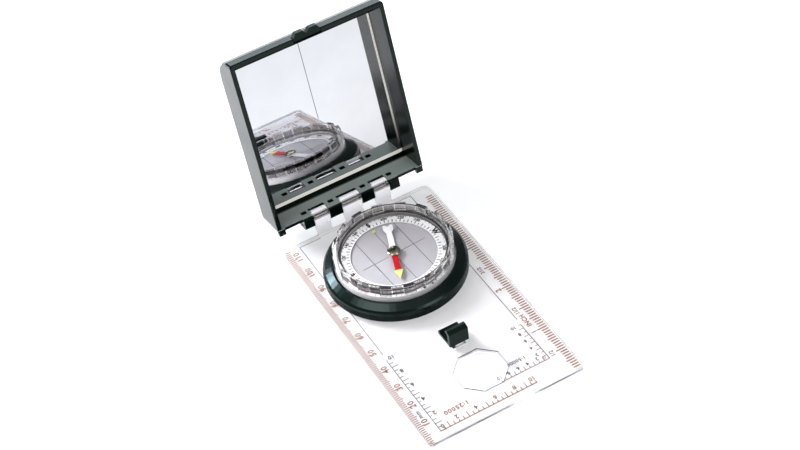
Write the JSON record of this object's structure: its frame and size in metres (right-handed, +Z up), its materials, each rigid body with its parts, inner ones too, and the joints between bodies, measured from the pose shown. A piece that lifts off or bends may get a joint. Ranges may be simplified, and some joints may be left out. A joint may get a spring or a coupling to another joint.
{
  "type": "mirror sighting compass",
  "caption": "Folding sighting compass: clear map baseplate, turning liquid capsule with needle, magnifier, lid catch and hinged lid with mirror and notch sight.",
  "frame": {"origin": "centre of the baseplate's underside", "axes": "+Z up from the plate's underside, +Y along the plate from the map end to the lid hinge, +X to the right when the lid is away from the user"},
  "size_m": [0.065, 0.1459, 0.0868],
  "materials": {
    "clear_plate": "clear polished acrylic, lightly scuffed",
    "clear_lens": "clear polished acrylic",
    "black_plastic": "satin black moulded plastic",
    "dark_green_plastic": "semi-gloss dark green, nearly black, moulded plastic",
    "white_plastic": "satin white plastic",
    "grey_film": "printed grey floor of the capsule",
    "steel": "ground steel",
    "brass": "polished brass",
    "mirror": "silvered glass",
    "adhesive_foam": "double-sided foam tape",
    "seal_rubber": "soft black seal",
    "luminous_paint": "yellow-green luminous paint",
    "needle_enamel": "enamelled steel: red north arm with a luminous arrow, white south arm",
    "jewel": "polished synthetic ruby"
  },
  "bodies": {
    "base": {"baseplate": "clear_plate", "magnifier_lens": "clear_lens", "bezel_ring": "dark_green_plastic", "friction_ring": "white_plastic"},
    "catch": {"lid_catch": "black_plastic"},
    "capsule": {"capsule_crown": "clear_plate", "capsule_bowl": "clear_plate", "capsule_lens": "clear_lens", "seal_ring": "seal_rubber", "orienting_plate": "grey_film", "dial_ring": "white_plastic", "luminous_dot": "luminous_paint", "pivot_pin": "steel"},
    "needle": {"needle_blade": "needle_enamel", "needle_hub": "brass", "jewel_bearing": "jewel"},
    "lid": {"lid_shell": "dark_green_plastic", "rear_sight": "black_plastic", "mirror_glass": "mirror", "mirror_pad": "adhesive_foam", "hinge_pin": "steel"}
  },
  "joints": [
    {"name": "lid_hinge", "type": "hinge", "parent": "base", "child": "lid", "pos_m": [0, 0.06096, 0.00941], "axis": [1, 0, 0], "range_deg": [-40, 102.4]},
    {"name": "capsule_spin", "type": "hinge", "parent": "base", "child": "capsule", "pos_m": [-0.0004, 0.0239, 0.008], "axis": [0, 0, 1], "continuous": true},
    {"name": "needle_spin", "type": "hinge", "parent": "capsule", "child": "needle", "pos_m": [-0.0004, 0.0239, 0.012], "axis": [0, 0, 1], "continuous": true},
    {"name": "catch_slide", "type": "slide", "parent": "base", "child": "catch", "axis": [0, 1, 0], "range_m": [0, 0.0038]}
  ]
}
